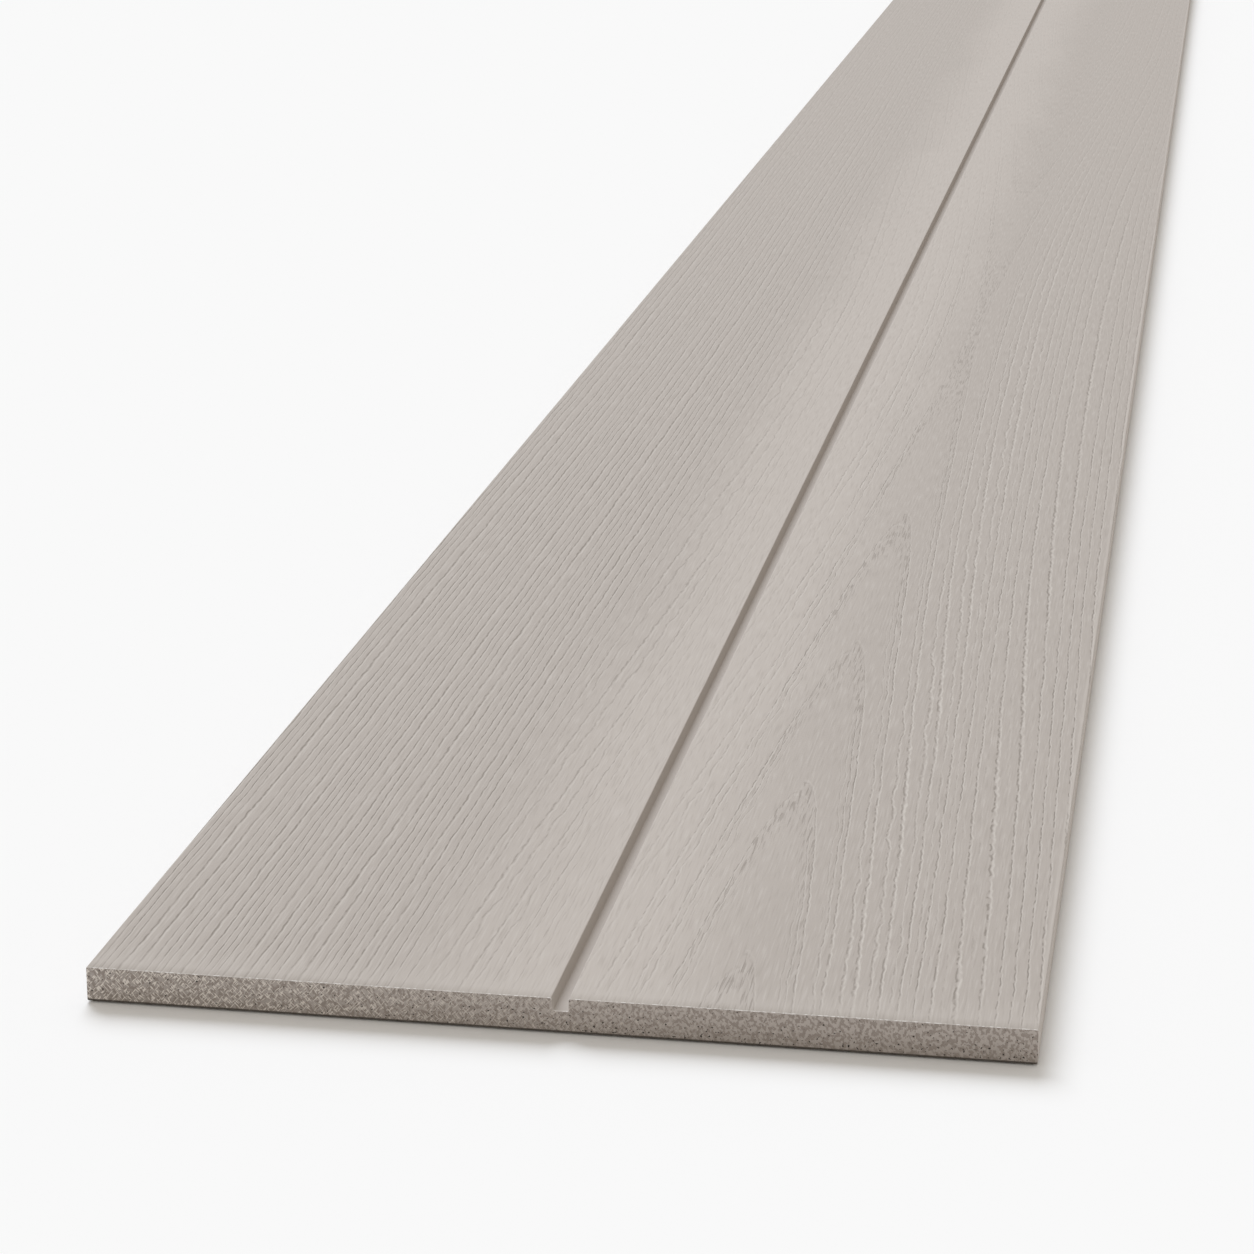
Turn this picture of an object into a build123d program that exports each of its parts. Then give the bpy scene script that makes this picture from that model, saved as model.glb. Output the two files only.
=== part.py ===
"""Lap siding board: one fibre-cement plank with a shadow groove along its face, near the middle.

The board lies face up. Its width runs along X, its length along Y, and its flat back is on Z = 0.
The origin is at the middle of the back.
"""

import os

from build123d import *

# Stock size of the plank, in millimetres
length = 3657.6  # 12 ft, as the stock is sold
width = 209.55  # 8 1/4 in
thickness = 7.94  # 5/16 in

# Shadow groove that splits the face into two courses
groove_offset = 1.72  # from the board's middle line to the groove's, towards +X
groove_mouth = 3.85  # across the lips, level with the face
groove_floor = 3.25  # across the flat bottom: the right wall is square, and the left one leans out
groove_depth = 2.95  # from the face down to the floor

# Worn and coated edges, as radii
face_arris = 0.3  # the two long edges of the face
back_arris = 0.3  # the two long edges of the back
lip_radius = 0.25  # the groove's two lips
root_radius = 0.3  # where the groove's walls meet its floor


# The board: its section, seen from the end, is run out to the full length
with BuildPart() as board:
    with BuildSketch(Plane.XZ) as section:
        Rectangle(width, thickness, align=(Align.CENTER, Align.MIN))
        back_corners, face_corners = section.vertices().group_by(Axis.Y)
        fillet(back_corners, back_arris)
        fillet(face_corners, face_arris)

        left_lip = groove_offset - groove_mouth / 2
        right_lip = groove_offset + groove_mouth / 2
        floor_height = thickness - groove_depth
        with BuildLine():
            Polyline(
                (left_lip, thickness),
                (right_lip - groove_floor, floor_height),
                (right_lip, floor_height),
                (right_lip, thickness),
                close=True,
            )
        make_face(mode=Mode.SUBTRACT)

        groove_corners = section.vertices().filter_by_position(Axis.X, left_lip, right_lip)
        floor_corners, lip_corners = groove_corners.group_by(Axis.Y)
        fillet(floor_corners, root_radius)
        fillet(lip_corners, lip_radius)
    extrude(amount=length / 2, both=True)

board.part.label = "board"

os.makedirs("parts", exist_ok=True)
export_step(board.part, "parts/board.step")
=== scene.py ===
"""A lap siding board: one fibre-cement plank, pressed with wood grain, grooved, coated and sawn square.

It lies face up on a pale floor, in metres, with its back on Z = 0 and its length along Y.
"""

import math

import bpy
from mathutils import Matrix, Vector


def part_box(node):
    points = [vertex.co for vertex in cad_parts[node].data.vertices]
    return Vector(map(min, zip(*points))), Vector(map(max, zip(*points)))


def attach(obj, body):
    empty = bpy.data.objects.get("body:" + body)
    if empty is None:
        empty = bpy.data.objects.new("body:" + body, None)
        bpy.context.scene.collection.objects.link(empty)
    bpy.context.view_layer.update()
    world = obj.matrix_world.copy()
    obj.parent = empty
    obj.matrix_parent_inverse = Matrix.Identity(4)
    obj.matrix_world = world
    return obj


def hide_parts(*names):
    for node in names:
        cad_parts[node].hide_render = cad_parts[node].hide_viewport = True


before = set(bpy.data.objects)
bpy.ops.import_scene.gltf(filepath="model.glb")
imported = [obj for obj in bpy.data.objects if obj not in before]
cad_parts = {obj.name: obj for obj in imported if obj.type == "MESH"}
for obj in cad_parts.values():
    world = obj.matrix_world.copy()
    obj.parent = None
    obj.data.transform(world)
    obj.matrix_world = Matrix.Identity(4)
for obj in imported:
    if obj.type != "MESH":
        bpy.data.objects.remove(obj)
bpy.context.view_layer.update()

# The blank
# A plank cut from a pressed fibre-cement sheet, with eased long edges and a shadow groove milled along its
# face, so that one board looks like two narrow courses. Both ends are sawn square, with their corners a
# little worn.
mm = 0.001
low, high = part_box("board")
width = high.x - low.x
thickness = high.z - low.z
half_length = high.y

groove_offset = 1.72 * mm
groove_mouth = 3.85 * mm
groove_floor = 3.25 * mm
groove_depth = 2.95 * mm
face_arris = 0.3 * mm
back_arris = 0.3 * mm
lip_radius = 0.25 * mm
root_radius = 0.3 * mm
worn_back = 0.20 * mm  # wear of a sawn corner, along the board
worn_in = 0.08 * mm  # and in from the section's outline
tucked = 0.27 * mm  # wear along the foot of a sawn end

side_steps = 4
arris_steps = 4
groove_steps = 3
face_columns = 200  # from a long edge to the groove
half_rows = 103
row_spread = 160 * mm  # rows stand closest at the ends, and twice as far apart this far in

map_margin = 0.005  # shares of the map for baked colours that each side of the board takes
sheet_across = 0.795
sheet_along = 0.925
end_across = 0.985
end_height = 0.027
near_end_foot = 0.938
far_end_foot = 0.970
back_start = 0.82
back_across = 0.17


def round_edge(centre_x, centre_z, radius, start, end, steps):
    """Points round an eased edge from one angle to another, in degrees, with both ends."""
    turns = [math.radians(start + (end - start) * step / steps) for step in range(steps + 1)]
    return [(centre_x + radius * math.cos(a), centre_z + radius * math.sin(a)) for a in turns]


def half_section(reach, half_floor):
    """From the back, up a side this far from the groove's middle line, over the face and down to the
    groove's floor, which starts this far from that line."""
    wall_lean = math.degrees(math.atan2(groove_mouth / 2 - half_floor, groove_depth))
    set_back = math.tan(math.radians(90 - wall_lean) / 2)
    lip_x = groove_mouth / 2 + lip_radius * set_back
    root_x = half_floor - root_radius * set_back
    side_top = thickness - face_arris
    floor_z = thickness - groove_depth
    face_start = reach - face_arris
    side_step = (side_top - back_arris) / side_steps
    column = (face_start - lip_x) / face_columns

    points = [(reach - back_arris, 0.0), (reach, back_arris)]
    points += [(reach, back_arris + side_step * s) for s in range(1, side_steps)]
    points += round_edge(face_start, side_top, face_arris, 0, 90, arris_steps)
    points += [(face_start - column * c, thickness) for c in range(1, face_columns)]
    points += round_edge(lip_x, thickness - lip_radius, lip_radius, 90, 180 - wall_lean, groove_steps)
    points += round_edge(root_x, floor_z + root_radius, root_radius, -wall_lean, -90, groove_steps)
    return points


def section_outline():
    """The section from the left edge of the back, up over the face, to the right edge of the back. The
    groove's left wall leans, and its right wall is square."""
    left_half = half_section(width / 2 + groove_offset, groove_floor - groove_mouth / 2)
    right_half = half_section(width / 2 - groove_offset, groove_mouth / 2)
    left = [(groove_offset - x, z) for x, z in left_half]
    right = [(groove_offset + x, z) for x, z in right_half]
    return left + right[::-1]


def worn(outline):
    """The outline drawn in all round by the wear of a sawn corner, which is half as much at the back as at
    the face. The back stays flat."""
    drawn_in = []
    for i, (x, z) in enumerate(outline):
        before = Vector(outline[max(i - 1, 0)])
        after = Vector(outline[min(i + 1, len(outline) - 1)])
        run = (after - before).normalized()
        wear = worn_in * (0.5 + 0.5 * z / thickness)
        drawn_in.append((x + run.y * wear, z - run.x * wear if z > 0 else 0.0))
    return drawn_in


def sawn_point(x, y, z):
    """A point of a sawn end. Its foot is tucked in."""
    return x, y if z > 0 else y - math.copysign(tucked, y), z


def lay_bake_map(mesh, points, faces, outline, last_row):
    """A map for baked colours: the sheet, then each end as a strip above it, and the back beside it. Every
    row of the sheet has an equal share of it, so the ends, where rows stand closest, get the most."""
    columns = len(outline)
    lengths = [0.0]
    for here, there in zip(outline, outline[1:]):
        lengths.append(lengths[-1] + math.dist(here, there))
    sheet_faces = last_row * (columns - 1)
    spots = []
    for index, face in enumerate(faces):
        for corner in face:
            x, y, z = points[corner]
            across = (x - low.x) / width
            if index < sheet_faces:
                row, column = divmod(corner, columns)
                u = map_margin + sheet_across * lengths[column] / lengths[-1]
                v = map_margin + sheet_along * row / last_row
            elif index < len(faces) - 1:
                foot = near_end_foot if y < 0 else far_end_foot
                u = map_margin + end_across * across
                v = foot + end_height * z / thickness
            else:
                u = back_start + back_across * across
                v = map_margin + sheet_along * (y - low.y) / (2 * half_length)
            spots += [u, v]
    mesh.uv_layers.new(name="OFBake").data.foreach_set("uv", spots)


def blank_mesh():
    """The plank with no grain: a sheet bent over its sides and face, a closed end each way, and a flat back,
    which is its last face."""
    outline = section_outline()
    sawn = worn(outline)
    ratio = (1 + half_length / row_spread) ** (1 / half_rows)
    near_rows = [low.y + row_spread * (ratio**r - 1) for r in range(1, half_rows)]
    far_rows = [-y for y in reversed(near_rows)]
    rows = [low.y, low.y + worn_back, *near_rows, 0.0, *far_rows, high.y - worn_back, high.y]
    last_row = len(rows) - 1
    columns = len(outline)

    points = [sawn_point(x, low.y, z) for x, z in sawn]
    points += [(x, y, z) for y in rows[1:-1] for x, z in outline]
    points += [sawn_point(x, high.y, z) for x, z in sawn]
    faces = []
    for r in range(last_row):
        for start in range(r * columns, r * columns + columns - 1):
            faces.append((start, start + 1, start + columns + 1, start + columns))

    # Each end is a net of small faces. Its sides share the points of the plank's sides, up to mid arris, and
    # each level is as wide as the plank is there.
    levels = side_steps + 1 + arris_steps // 2
    first, last = levels, columns - 1 - levels
    rims = []
    for row in (0, last_row):
        net = {(levels, c): row * columns + c for c in range(first, last + 1)}
        for level in range(levels):
            net[level, first] = row * columns + level
            net[level, last] = row * columns + columns - 1 - level
            spread = sawn[level][0] / sawn[levels][0]
            share = sawn[level][1] / sawn[levels][1]
            for c in range(first + 1, last):
                x, top = sawn[c]
                net[level, c] = len(points)
                points.append(sawn_point(x * spread, rows[row], top * share))
        for level in range(levels):
            for c in range(first, last):
                corners = (net[level, c], net[level, c + 1], net[level + 1, c + 1], net[level + 1, c])
                faces.append(corners if row == 0 else corners[::-1])
        rims.append([net[0, c] for c in range(first, last + 1)])

    near_rim, far_rim = rims
    right_rim = [r * columns + columns - 1 for r in range(1, last_row)]
    left_rim = [r * columns for r in range(1, last_row)]
    faces.append((near_rim + right_rim + far_rim[::-1] + left_rim[::-1])[::-1])

    mesh = bpy.data.meshes.new("board_blank")
    mesh.from_pydata(points, [], faces)
    mesh.update()
    lay_bake_map(mesh, points, faces, outline, last_row)
    return mesh


# The grain
# A flat-sawn wood pattern that the press plate leaves in the wet sheet, before the groove is cut. Growth
# rings run as close straight lines along both edges and close into arches about a heart line right of the
# groove.
heart_line = 0.178 * width
grain_sizes = {
    "Face Height": thickness,
    "Edge Fade": face_arris,
    "Heart Line": heart_line,
    "Right Pitch": 3.3 * mm,
    "Right Rounding": 30.0 * mm,
    "Left Pitch": 5.5 * mm,
    "Left Rounding": 18.0 * mm,
    "Left Knee": 60.0 * mm,
    "Knee Softness": 6.0 * mm,
    "Left Edge Pitch": 2.15 * mm,
    "Arch Rings": 3.4,
    "Arch Length": 12.0 * width,
    "Arch Middle": low.y + 0.45 * width,
    "Arch Reach": 0.40 * width,
    "Drift": 2.5 * mm,
    "Kink": 1.1 * mm,
    "Line Half Width": 0.55 * mm,
    "Lip Half Width": 0.55 * mm,
    "Lip Shift": 0.65 * mm,
    "Partner Gap": 1.8 * mm,
    "Line Depth": 0.10 * mm,
    "Lip Height": 0.05 * mm,
    "Pore Depth": 0.06 * mm,
    "Saw Roughness": 0.06 * mm,
    "Seed": 4.0,
}


class Wire:
    """One output of a node. Sums written with wires become Math nodes in the same tree."""

    def __init__(self, tree, socket):
        self.tree = tree
        self.socket = socket

    def out(self, name):
        """Another output of the same node."""
        return Wire(self.tree, self.socket.node.outputs[name])

    def __add__(self, other):
        return self.tree.math("ADD", self, other)

    def __radd__(self, other):
        return self.tree.math("ADD", other, self)

    def __sub__(self, other):
        return self.tree.math("SUBTRACT", self, other)

    def __rsub__(self, other):
        return self.tree.math("SUBTRACT", other, self)

    def __mul__(self, other):
        return self.tree.math("MULTIPLY", self, other)

    def __rmul__(self, other):
        return self.tree.math("MULTIPLY", other, self)

    def __truediv__(self, other):
        return self.tree.math("DIVIDE", self, other)

    def __gt__(self, other):
        return self.tree.math("GREATER_THAN", self, other)

    def __lt__(self, other):
        return self.tree.math("LESS_THAN", self, other)

    def __abs__(self):
        return self.tree.math("ABSOLUTE", self)


class Tree:
    """A node tree being wired."""

    def __init__(self, data):
        self.data = data

    def node(self, kind, settings=None, sockets=None):
        """Adds a node, sets its settings, then its sockets to values or wires, and returns its first
        output."""
        made = self.data.nodes.new(kind)
        for name, value in (settings or {}).items():
            setattr(made, name, value)
        for key, value in (sockets or {}).items():
            if isinstance(value, Wire):
                self.data.links.new(value.socket, made.inputs[key])
            else:
                made.inputs[key].default_value = value
        return Wire(self, made.outputs[0]) if made.outputs else None

    def math(self, operation, *terms):
        """A Math node on these terms."""
        return self.node("ShaderNodeMath", {"operation": operation}, dict(enumerate(terms)))

    def largest(self, terms):
        """The largest of several terms."""
        most = terms[0]
        for term in terms[1:]:
            most = self.math("MAXIMUM", most, term)
        return most

    def split(self, vector):
        """A vector's X, Y and Z."""
        parts = self.node("ShaderNodeSeparateXYZ", {}, {0: vector})
        return parts.out("X"), parts.out("Y"), parts.out("Z")

    def noise(self, across, along, seed, detail=1.0):
        """Noise from 0 to 1, about 0.5, that changes over one unit of each coordinate."""
        place = self.node("ShaderNodeCombineXYZ", {}, {"X": across, "Y": along, "Z": seed})
        return self.node("ShaderNodeTexNoise", {}, {"Vector": place, "Scale": 1.0, "Detail": detail})

    def ease(self, value, start, end, low=0.0, high=1.0):
        """Goes smoothly from low to high as value goes from start to end, either way round."""
        sockets = {"Value": value, "From Min": start, "From Max": end, "To Min": low, "To Max": high}
        return self.node("ShaderNodeMapRange", {"interpolation_type": "SMOOTHSTEP"}, sockets)


def growth_rings(tree, x, y, size):
    """The fibre's own X from the heart line, the count of rings out to it, and how many rings there would
    be in a metre there."""
    seed = size["Seed"]
    drift = tree.noise(x / (60 * mm), y / (330 * mm), seed, 0.0) - 0.5
    kink = tree.noise(x / (7 * mm), y / (26 * mm), seed + 1) - 0.5
    fibre = x - size["Heart Line"] + drift * size["Drift"] + kink * size["Kink"]

    # Rings stand wide about the heart line, where they round over, and close together past a knee on the
    # left.
    on_right = fibre > 0
    on_left = 1 - on_right
    rounding = on_left * size["Left Rounding"] + on_right * size["Right Rounding"]
    per_metre = on_left / size["Left Pitch"] + on_right / size["Right Pitch"]
    closer = on_left / size["Left Edge Pitch"] - on_left / size["Left Pitch"]
    slant = tree.math("SQRT", fibre * fibre + rounding * rounding)
    reach = slant - rounding
    past_knee = reach - size["Left Knee"]
    soft = tree.math("SQRT", past_knee * past_knee + size["Knee Softness"] * size["Knee Softness"])
    rings = reach * per_metre + (past_knee + soft) * 0.5 * closer
    density = (per_metre + (1 + past_knee / soft) * 0.5 * closer) * abs(fibre) / slant
    rings = rings + 0.25 * tree.math("SINE", rings * 1.1) + 0.25 * tree.math("SINE", rings * 0.43)

    # The rings' taper along the tree makes the arches, and it turns round now and then.
    angle = (y - size["Arch Middle"]) / size["Arch Length"] * math.tau
    share = reach / size["Arch Reach"]
    count = rings + size["Arch Rings"] * tree.math("SINE", angle) / (1 + share * share) + 0.53
    return fibre, count, density


def by_sawn_end(tree, from_end):
    """1 within a millimetre of a sawn end, and 0 from 20 mm in."""
    return tree.ease(from_end, 20 * mm, 1 * mm)


def press_marks(tree, x, y, size):
    """How much of a ring line, of its raised lip and of open pores is at each place, from 0 to 1, and how
    close the rings stand there. A wide ring is a braid of several lines. Lines are whole at the left edge
    and broken elsewhere."""
    fibre, count, density = growth_rings(tree, x, y, size)
    seed = size["Seed"]
    phase = tree.math("FRACT", count + 0.5) - 0.5
    ring = count - phase
    outwards = phase / tree.math("MAXIMUM", density, 40.0)
    towards_right = tree.math("SIGN", fibre)
    broken = tree.ease(x, -85 * mm, 50 * mm, 0.4, 0.85)
    jitter = (tree.noise(fibre / (1.5 * mm), y / (3.5 * mm), seed + 3, 0.0) - 0.5) * broken * (0.8 * mm)
    beads = tree.ease(tree.noise(fibre / (1.6 * mm), y / (3.6 * mm), seed + 4), 0.40, 0.54)
    beads = 1 - broken * (1 - beads)

    close_set = tree.ease(density, 190.0, 300.0)
    wide = 1 - close_set
    formed = tree.ease(density, 30.0, 90.0, 0.3, 1.0)
    calm = tree.ease(abs(x - groove_offset), 3 * mm, 20 * mm, 0.35, 1.0)
    on_right = tree.ease(fibre, 0.0, 20 * mm)
    strength = tree.noise(ring * 1.7, y / (70 * mm), seed + 7, 0.0)
    uneven = tree.ease(strength, 0.32, 0.60, 0.6 + 0.15 * on_right, 0.92)
    gap = size["Partner Gap"] * (0.75 + 0.9 * tree.noise(ring * 1.3, y / (14 * mm), seed + 8, 0.0))
    by_left_lip = wide * (x < groove_offset)
    from_end = half_length - abs(y)
    mid_board = tree.ease(from_end, 0.3, 1.5)
    by_end = by_sawn_end(tree, from_end)
    faint = (1 - 0.1 * close_set - 0.45 * by_left_lip) * (1 - 0.6 * mid_board) * (1 - 0.5 * by_end)
    weight = formed * calm * uneven * faint
    nested = tree.ease(density, 190.0, 110.0)
    lines = []
    lips = []
    for place, share in enumerate((1.0, 0.8 * wide, 0.45 * nested, 0.3 * nested)):
        off = (outwards + place * gap) * towards_right + jitter
        lines.append(tree.ease(abs(off), size["Line Half Width"], 0.0) * share)
        lips.append(tree.ease(abs(off - size["Lip Shift"]), size["Lip Half Width"], 0.0) * share)
    line = tree.largest(lines) * beads * weight
    lip = tree.largest(lips) * (0.45 + 0.55 * beads) * weight

    # Pores open on the inner side of each line, and fill the head of an arch.
    head = tree.ease(density, 150.0, 60.0, 0.2, 1.0)
    inner_side = tree.ease(phase, -0.40, -0.08) * tree.ease(phase, 0.02, -0.02)
    band = inner_side * head * wide * calm * (1 - 0.7 * mid_board)
    pores = tree.ease(tree.noise(fibre / (0.45 * mm), y / (9 * mm), seed + 5, 0.0), 0.57, 0.67) * band
    return line, lip, pores, close_set


def grain_group(coat, core, back):
    """Presses the grain into a plank's face, roughens its sawn ends and gives each side its finish."""
    group = bpy.data.node_groups.new("pressed_grain", "GeometryNodeTree")
    group.interface.new_socket("Geometry", in_out="INPUT", socket_type="NodeSocketGeometry")
    for name in grain_sizes:
        group.interface.new_socket(name, in_out="INPUT", socket_type="NodeSocketFloat")
    group.interface.new_socket("Geometry", in_out="OUTPUT", socket_type="NodeSocketGeometry")
    tree = Tree(group)
    given = tree.node("NodeGroupInput")
    size = {name: given.out(name) for name in grain_sizes}
    x, y, z = tree.split(tree.node("GeometryNodeInputPosition"))
    _, facing_y, facing_z = tree.split(tree.node("GeometryNodeInputNormal"))

    line, lip, pores, close_set = press_marks(tree, x, y, size)
    raised = lip * size["Lip Height"] - line * size["Line Depth"] - pores * size["Pore Depth"]
    pressed = tree.math("MINIMUM", raised, 0.0)
    on_face = tree.ease(z, size["Face Height"] - size["Edge Fade"], size["Face Height"])

    # The saw leaves the ends a little rough, always inwards.
    on_end = tree.ease(abs(facing_y), 0.7, 0.95)
    torn = tree.noise(x / (1.6 * mm), z / (1.3 * mm), size["Seed"] + 6, 2.0) * size["Saw Roughness"]
    inwards = torn * on_end * (0 - tree.math("SIGN", y))

    shift = tree.node("ShaderNodeCombineXYZ", {}, {"Y": inwards, "Z": pressed * on_face})
    shaped = tree.node("GeometryNodeSetPosition", {}, {"Geometry": given.out("Geometry"), "Offset": shift})

    # The back is one face with a corner for each row and column. It is cut into well-shaped triangles.
    cut = {"Mesh": shaped, "Selection": facing_z < -0.9}
    shaped = tree.node("GeometryNodeTriangulate", {"ngon_method": "BEAUTY"}, cut)
    corner = tree.node("GeometryNodeInputMeshEdgeAngle") > 0.6
    at_end = abs(y) > half_length - 2 * worn_back
    above_back = z > 0.001 * mm
    sharp = corner * (1 - (1 - at_end) * above_back)
    smooth = tree.node("GeometryNodeSetShadeSmooth", {"domain": "FACE"}, {"Geometry": shaped})
    creased = tree.node(
        "GeometryNodeSetShadeSmooth",
        {"domain": "EDGE"},
        {"Geometry": smooth, "Selection": sharp, "Shade Smooth": False},
    )
    whole = tree.node("GeometryNodeRealizeInstances", {}, {"Geometry": creased})
    finished = tree.node("GeometryNodeSetMaterial", {}, {"Geometry": whole, "Material": coat})
    for chosen, material in ((abs(facing_y) > 0.6, core), (facing_z < -0.9, back)):
        sockets = {"Geometry": finished, "Selection": chosen, "Material": material}
        finished = tree.node("GeometryNodeSetMaterial", {}, sockets)
    tree.node("NodeGroupOutput", {}, {"Geometry": finished})
    return group


# The coat
# A matt factory paint in warm taupe, sprayed over the face, the sides and the groove. Its colour carries
# painted shade in the pressed lines and pores, a painted highlight on their raised lips and along the right
# edge, painted light on the sides, and chipped paint with a painted highlight along the sawn corners.
coat_sizes = {
    **grain_sizes,
    "Line Half Width": 0.27 * mm,
    "Lip Half Width": 0.32 * mm,
    "Lip Shift": 0.45 * mm,
}


def colour(red, green, blue):
    """A colour read off a screen, from 0 to 255, as the linear values that a shader takes."""
    shares = [value / 255 for value in (red, green, blue)]
    linear = [s / 12.92 if s <= 0.04045 else ((s + 0.055) / 1.055) ** 2.4 for s in shares]
    return (*linear, 1.0)


taupe = colour(179, 171, 164)
taupe_by_groove = colour(189, 181, 174)
taupe_by_end = colour(190, 183, 176)
# painted light: the sides are painted lighter, for the light they get from the floor
taupe_painted_side_light = colour(197, 189, 182)
# painted highlight along the right edge of the face
painted_edge_highlight = colour(200, 193, 186)
dark_streak = colour(156, 148, 140)
pale_streak = colour(204, 198, 192)
# painted highlight on the raised lips of the lines
painted_lip_highlight = colour(206, 200, 193)
# painted shade in the open pores
painted_pore_shade = colour(142, 133, 125)
# painted shade in the pressed lines
painted_line_shade = colour(126, 118, 110)
# chipped paint, and a painted highlight along the sawn corners
chipped_paint_and_highlight = colour(234, 231, 228)


def blended(tree, share, first, second):
    """A colour that goes from the first to the second as share goes from 0 to 1."""
    mixed = tree.node("ShaderNodeMix", {"data_type": "RGBA"}, {"Factor": share, 6: first, 7: second})
    return Wire(tree, mixed.socket.node.outputs[2])


def new_material(name):
    """An empty material, and its node tree."""
    material = bpy.data.materials.new(name)
    material.use_nodes = True
    material.node_tree.nodes.clear()
    return material, Tree(material.node_tree)


def finish_material(tree, **sockets):
    """Ends a material in a Principled shader with these sockets."""
    named = {name.replace("_", " "): value for name, value in sockets.items()}
    shader = tree.node("ShaderNodeBsdfPrincipled", {}, named)
    tree.node("ShaderNodeOutputMaterial", {}, {"Surface": shader})


def coated_face():
    """The paint on the face, the sides and the groove."""
    material, tree = new_material("coated_face")
    x, y, z = tree.split(tree.node("ShaderNodeTexCoord").out("Object"))
    on_face = tree.ease(z, thickness - 0.6 * mm, thickness - 0.35 * mm)
    line, lip, pores, close_set = press_marks(tree, x, y, coat_sizes)
    line = line * on_face
    lip = lip * on_face
    pores = pores * on_face
    streaks = (tree.noise(x / (0.5 * mm), y / (12 * mm), 11.0) - 0.5) * on_face
    stipple = tree.noise(x / (0.35 * mm), y / (0.5 * mm), z / (0.35 * mm))

    mottle = tree.noise(x / (38 * mm), y / (120 * mm), 12.0, 3.0)
    by_groove = tree.ease(abs(x - groove_offset) + (mottle - 0.5) * (30 * mm), 45 * mm, 8 * mm)
    tone = blended(tree, by_groove, taupe, taupe_by_groove)
    by_end = by_sawn_end(tree, half_length - abs(y))
    tone = blended(tree, by_end * 0.4, tone, taupe_by_end)
    # The sides are painted lighter: painted light.
    on_side = (abs(x) > 0.5 * width - 1 * mm) * (1 - on_face)
    tone = blended(tree, on_side, tone, taupe_painted_side_light)
    tone = blended(tree, tree.ease(streaks, -0.02, -0.25) * 0.30, tone, dark_streak)
    tone = blended(tree, tree.ease(streaks, 0.02, 0.25) * 0.30, tone, pale_streak)
    right_course = tree.ease(x, groove_offset - 20 * mm, groove_offset + 20 * mm)
    # A painted highlight on the raised lips.
    tone = blended(tree, lip * (0.75 - 0.15 * close_set + 0.1 * right_course), tone, painted_lip_highlight)
    # Painted shade in the pores.
    tone = blended(tree, pores * 0.5, tone, painted_pore_shade)
    # Painted shade in the pressed lines, softer on the right course.
    soft = (0.42 - 0.34 * close_set) * right_course
    tone = blended(tree, line * (0.9 - soft), tone, painted_line_shade)
    # A painted highlight along the right edge of the face.
    edge_highlight_mask = tree.ease(x, high.x - 1.3 * mm, high.x - 0.6 * mm) * on_face
    tone = blended(tree, edge_highlight_mask * 0.4, tone, painted_edge_highlight)
    # Chipped paint and a painted highlight along the sawn corners.
    in_groove = (abs(x - groove_offset) < 0.5 * groove_mouth) * (z < thickness - groove_depth + 0.2 * mm)
    at_corner = (abs(y) > half_length - 0.35 * mm) * tree.largest([on_face, in_groove])
    specks = tree.ease(tree.noise(x / (0.7 * mm), y / (0.7 * mm), 13.0, 2.0), 0.50, 0.58)
    tone = blended(tree, at_corner * (0.2 + 0.6 * specks), tone, chipped_paint_and_highlight)
    height = 1 - line + 0.4 * lip - 0.5 * pores + 0.35 * streaks + 0.12 * stipple
    bump = tree.node("ShaderNodeBump", {}, {"Strength": 1.0, "Distance": 0.10 * mm, "Height": height})
    finish_material(
        tree,
        Base_Color=tone,
        Roughness=0.72 + 0.1 * line + 0.1 * stipple,
        Specular_IOR_Level=0.12,
        Normal=bump,
    )
    return material


# The sawn ends
# The raw core of the board: grey-brown cement with pale cellulose fibres, darker flakes and open pores.
# The pores' dark is painted shade. It is more fibrous to the left and more porous to the right, with a
# painted shadow along its foot.
dark_flake = colour(157, 147, 140)
pale_flake = colour(187, 178, 172)
left_ground = colour(145, 136, 129)
low_ground = colour(136, 126, 116)
pale_fibre = colour(222, 214, 206)
# painted shade in the open pits
painted_pit_shade = colour(58, 54, 50)
# painted shadow along the foot of a sawn end, next to the floor
painted_foot_shadow = colour(84, 79, 73)


def sawn_core():
    """The bare cement of a sawn end."""
    material, tree = new_material("sawn_core")
    x, _, z = tree.split(tree.node("ShaderNodeTexCoord").out("Object"))
    to_left = tree.ease(x, 0.6 * high.x, low.x)
    low_down = tree.ease(z, 0.75 * thickness, 0.0)
    flakes = tree.noise((x + 0.4 * z) / (0.85 * mm), (z - 0.4 * x) / (1.2 * mm), 21.0, 2.0)
    tone = blended(tree, tree.ease(flakes, 0.485, 0.515), dark_flake, pale_flake)
    tone = blended(tree, to_left * 0.35, tone, left_ground)
    tone = blended(tree, low_down * 0.30, tone, low_ground)
    for lean, seed in ((0.9, 22.0), (-0.9, 23.0)):
        fibres = tree.noise((x + z * lean) / (0.36 * mm), (z - x * lean) / (2.0 * mm), seed, 0.0)
        pale = tree.ease(fibres, 0.61, 0.66) * (0.1 + 0.9 * to_left)
        tone = blended(tree, pale, tone, pale_fibre)
    # Painted shade in the open pits.
    pits = tree.noise(x / (0.6 * mm), z / (0.55 * mm), 24.0, 0.0)
    rarity = 0.76 - 0.06 * low_down * (1 - to_left)
    open_pits = tree.ease(pits - rarity, 0.0, 0.03)
    tone = blended(tree, open_pits, tone, painted_pit_shade)
    # A painted shadow along the foot.
    foot_shadow_mask = tree.ease(z, 0.62 * mm, 0.42 * mm)
    tone = blended(tree, foot_shadow_mask * 0.9, tone, painted_foot_shadow)
    height = flakes * 0.8 - open_pits
    bump = tree.node("ShaderNodeBump", {}, {"Strength": 0.8, "Distance": 0.15 * mm, "Height": height})
    finish_material(tree, Base_Color=tone, Roughness=0.9, Specular_IOR_Level=0.2, Normal=bump)
    return material


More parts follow.
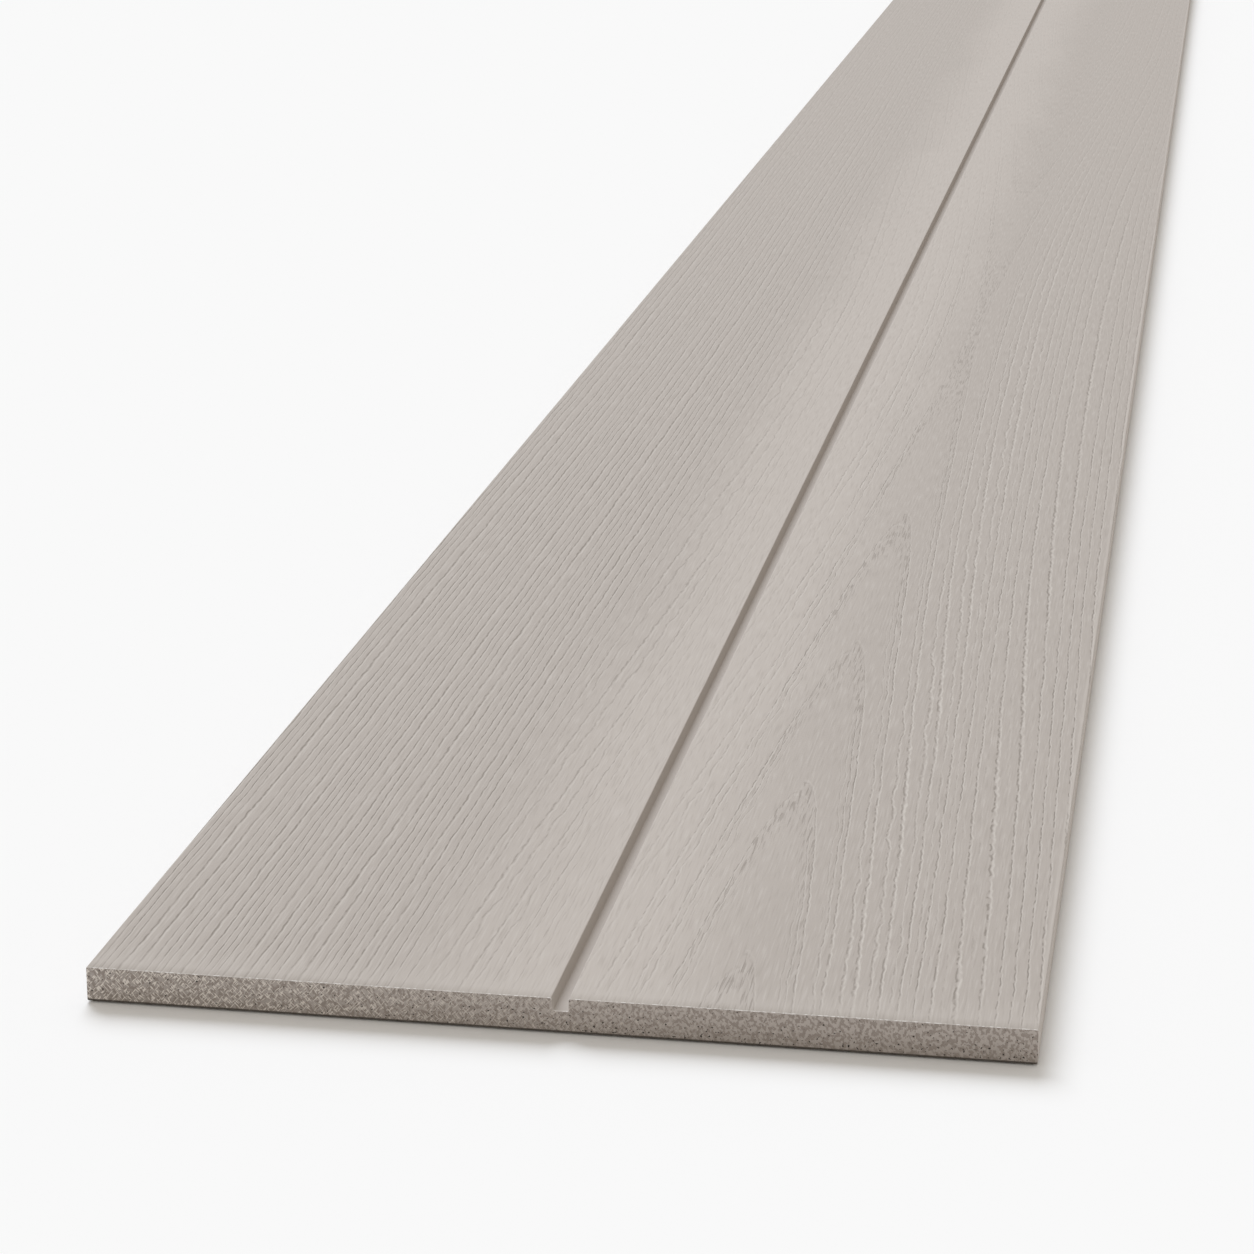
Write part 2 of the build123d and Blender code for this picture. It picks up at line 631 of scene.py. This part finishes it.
# The back
# Bare board as it came off the felt: flat, grey and dull, with the faint weave of the felt and a cloudy seal
# coat.
dark_cloud = colour(163, 157, 150)
pale_cloud = colour(172, 166, 159)
dark_speck = colour(134, 127, 119)
thread_pitch = 1.8 * mm


def felt_back():
    """The sealed back, with the print of the felt."""
    material, tree = new_material("felt_back")
    x, y, _ = tree.split(tree.node("ShaderNodeTexCoord").out("Object"))
    clouds = tree.noise(x / (60 * mm), y / (90 * mm), 31.0, 4.0)
    specks = tree.noise(x / (0.9 * mm), y / (0.9 * mm), 32.0, 2.0)
    threads = math.tau / thread_pitch
    weave = tree.math("SINE", x * threads) * tree.math("SINE", y * threads)
    tone = blended(tree, tree.ease(clouds, 0.35, 0.65), dark_cloud, pale_cloud)
    tone = blended(tree, tree.ease(specks, 0.58, 0.7) * 0.4, tone, dark_speck)
    height = weave * 0.3 + specks
    bump = tree.node("ShaderNodeBump", {}, {"Strength": 0.6, "Distance": 0.1 * mm, "Height": height})
    finish_material(tree, Base_Color=tone, Roughness=0.85, Specular_IOR_Level=0.2, Normal=bump)
    return material


# The finished board
# The blank with its grain pressed in and its three finishes on, as one closed mesh. It is one piece of
# stock, so nothing is fixed to it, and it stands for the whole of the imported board.
board = bpy.data.objects.new("siding_board", blank_mesh())
bpy.context.scene.collection.objects.link(board)
press = board.modifiers.new("pressed_grain", "NODES")
press.node_group = grain_group(coated_face(), sawn_core(), felt_back())
for item in press.node_group.interface.items_tree:
    if item.in_out == "INPUT" and item.name in grain_sizes:
        press[item.identifier] = grain_sizes[item.name]
depsgraph = bpy.context.evaluated_depsgraph_get()
pressed_mesh = bpy.data.meshes.new_from_object(board.evaluated_get(depsgraph))
board.modifiers.clear()
board.data = pressed_mesh
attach(board, "root")
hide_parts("board")

# The floor
# A plain pale sheet of matt card under the board, wide enough that its edges never show. A long plank never
# lies quite flat, so a hairline gap is left under it, which with the painted shadow on the sawn ends' feet
# shows as the dark line along its foot.
floor_size = 60.0
floor_gap = 0.35 * mm
pale_card = colour(249, 249, 249)
bpy.ops.mesh.primitive_plane_add(size=floor_size, location=(0, 0, -floor_gap))
floor = bpy.context.object
floor.name = "floor"
floor_paint, floor_tree = new_material("pale_floor")
finish_material(floor_tree, Base_Color=pale_card, Roughness=1.0, Specular_IOR_Level=0.0)
floor.data.materials.append(floor_paint)

# The light
# A warm white room all round, and one large soft lamp behind the board and a little to its left, which throws
# the short shadow in front of the near end and lights the floor of the groove. Together they are white on
# open floor.
sky_share = 0.53
sky_tint = (1.045, 1.0, 0.93)
lamp_tint = [(1 - sky_share * tint) / (1 - sky_share) for tint in sky_tint]
lamp_height = 38.0  # degrees above the floor
lamp_turn = -157.0  # degrees about the upright
lamp_size = 36.0  # degrees across
world = bpy.data.worlds.new("white_room")
world.use_nodes = True
world.node_tree.nodes.clear()
sky = Tree(world.node_tree)
seen = sky.node("ShaderNodeLightPath").out("Is Camera Ray")
sky_light = sky.node("ShaderNodeBackground", {}, {"Color": (*sky_tint, 1.0), "Strength": sky_share})
sky_shown = sky.node("ShaderNodeBackground", {}, {"Color": pale_card, "Strength": 1.0})
sky_both = sky.node("ShaderNodeMixShader", {}, {0: seen, 1: sky_light, 2: sky_shown})
sky.node("ShaderNodeOutputWorld", {}, {"Surface": sky_both})
bpy.context.scene.world = world

lamp = bpy.data.lights.new("soft_lamp", "SUN")
lamp.energy = (1 - sky_share) * math.pi / math.sin(math.radians(lamp_height))
lamp.angle = math.radians(lamp_size)
lamp.color = lamp_tint
lamp_object = bpy.data.objects.new("soft_lamp", lamp)
lamp_object.rotation_euler = (math.radians(90 - lamp_height), 0, math.radians(lamp_turn))
bpy.context.scene.collection.objects.link(lamp_object)

# The camera
# A long lens close to the near end and right of the board, which looks down its length. The board's own edges
# in the photograph gave its place.
lens_length = 101.34  # millimetres, and so is the sensor's width
sensor_width = 36.0
camera_right = 0.1345  # from the board's middle line
camera_back = 0.6950  # from the near end
camera_up = 0.2959  # from the face
camera_tilt = 16.69  # degrees down
camera_turn = 9.638  # degrees to the left
camera = bpy.data.cameras.new("camera")
camera.lens = lens_length
camera.sensor_width = sensor_width
camera_object = bpy.data.objects.new("camera", camera)
camera_object.location = (camera_right, low.y - camera_back, thickness + camera_up)
camera_object.rotation_euler = (math.radians(90 - camera_tilt), 0, math.radians(camera_turn))
bpy.context.scene.collection.objects.link(camera_object)
bpy.context.scene.camera = camera_object
bpy.context.scene.view_settings.view_transform = "Standard"
